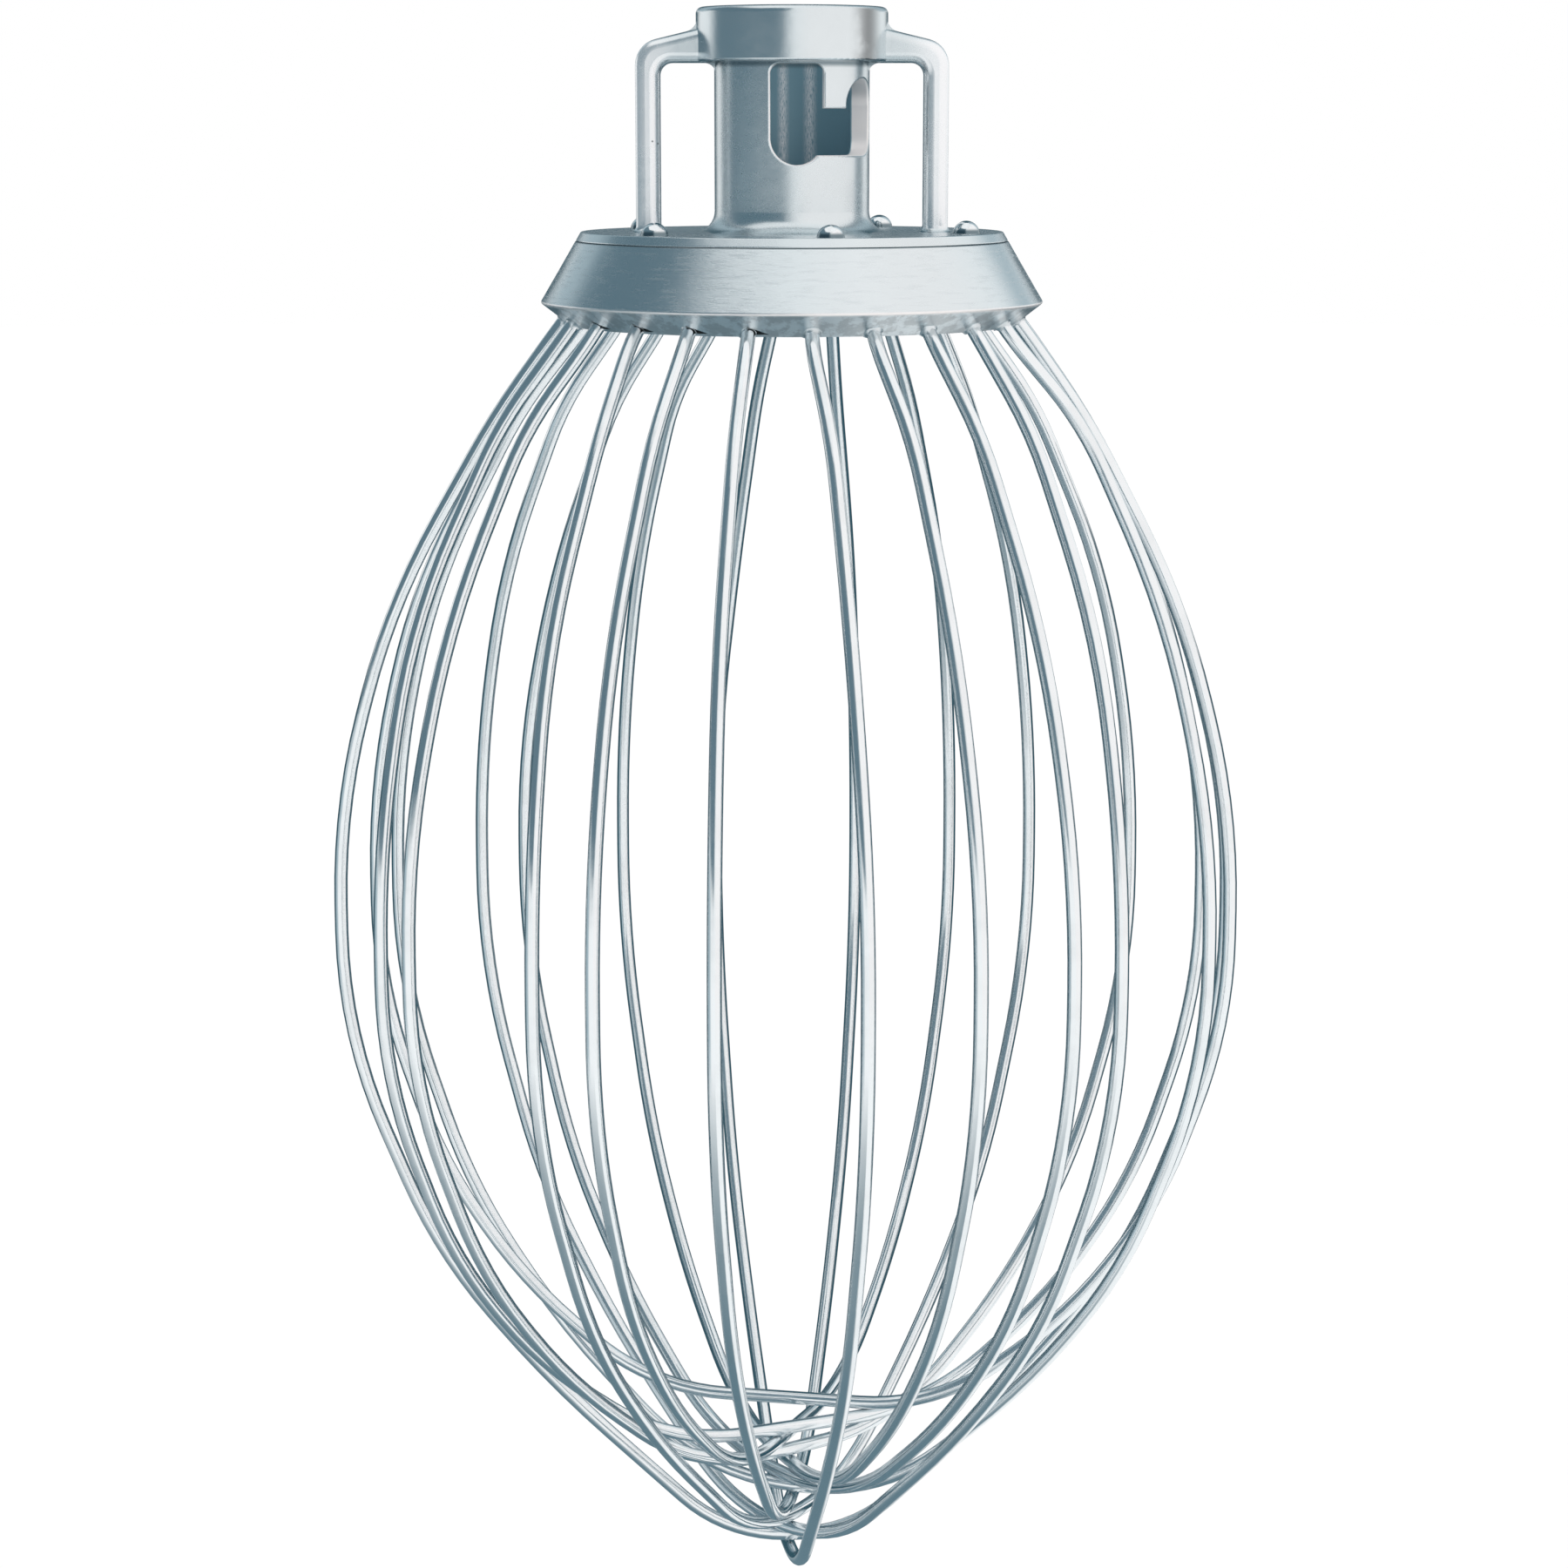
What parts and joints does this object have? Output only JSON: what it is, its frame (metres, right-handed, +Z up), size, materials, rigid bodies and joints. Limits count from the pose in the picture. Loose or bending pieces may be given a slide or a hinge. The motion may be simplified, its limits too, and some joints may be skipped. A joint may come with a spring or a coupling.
{
  "type": "mixer wire whip",
  "caption": "Commercial planetary mixer whip: a cage of stacked wire loops riveted under a cast hub with a shaft bore, locking slot and two grab handles.",
  "frame": {"origin": "centre of the shaft bore at the hub's top face", "axes": "+Z up the drive shaft, out of the bore; -Y towards the side with the locking slot; +X towards the right-hand grab handle seen from there"},
  "size_m": [0.3197, 0.3161, 0.5559],
  "materials": {
    "hub_casting": "satin as-cast, machined in the bore",
    "turned_ring": "turned, with fine circular brushing",
    "rivet_metal": "satin",
    "spring_wire": "polished"
  },
  "bodies": {
    "root": {"hub": "hub_casting", "wire_ring": "turned_ring", "rivet_1": "rivet_metal", "rivet_2": "rivet_metal", "rivet_3": "rivet_metal", "rivet_4": "rivet_metal", "rivet_5": "rivet_metal", "wire_loop_01": "spring_wire", "wire_loop_02": "spring_wire", "wire_loop_03": "spring_wire", "wire_loop_04": "spring_wire", "wire_loop_05": "spring_wire", "wire_loop_06": "spring_wire", "wire_loop_07": "spring_wire", "wire_loop_08": "spring_wire", "wire_loop_09": "spring_wire", "wire_loop_10": "spring_wire", "wire_loop_11": "spring_wire", "wire_loop_12": "spring_wire"}
  },
  "joints": []
}
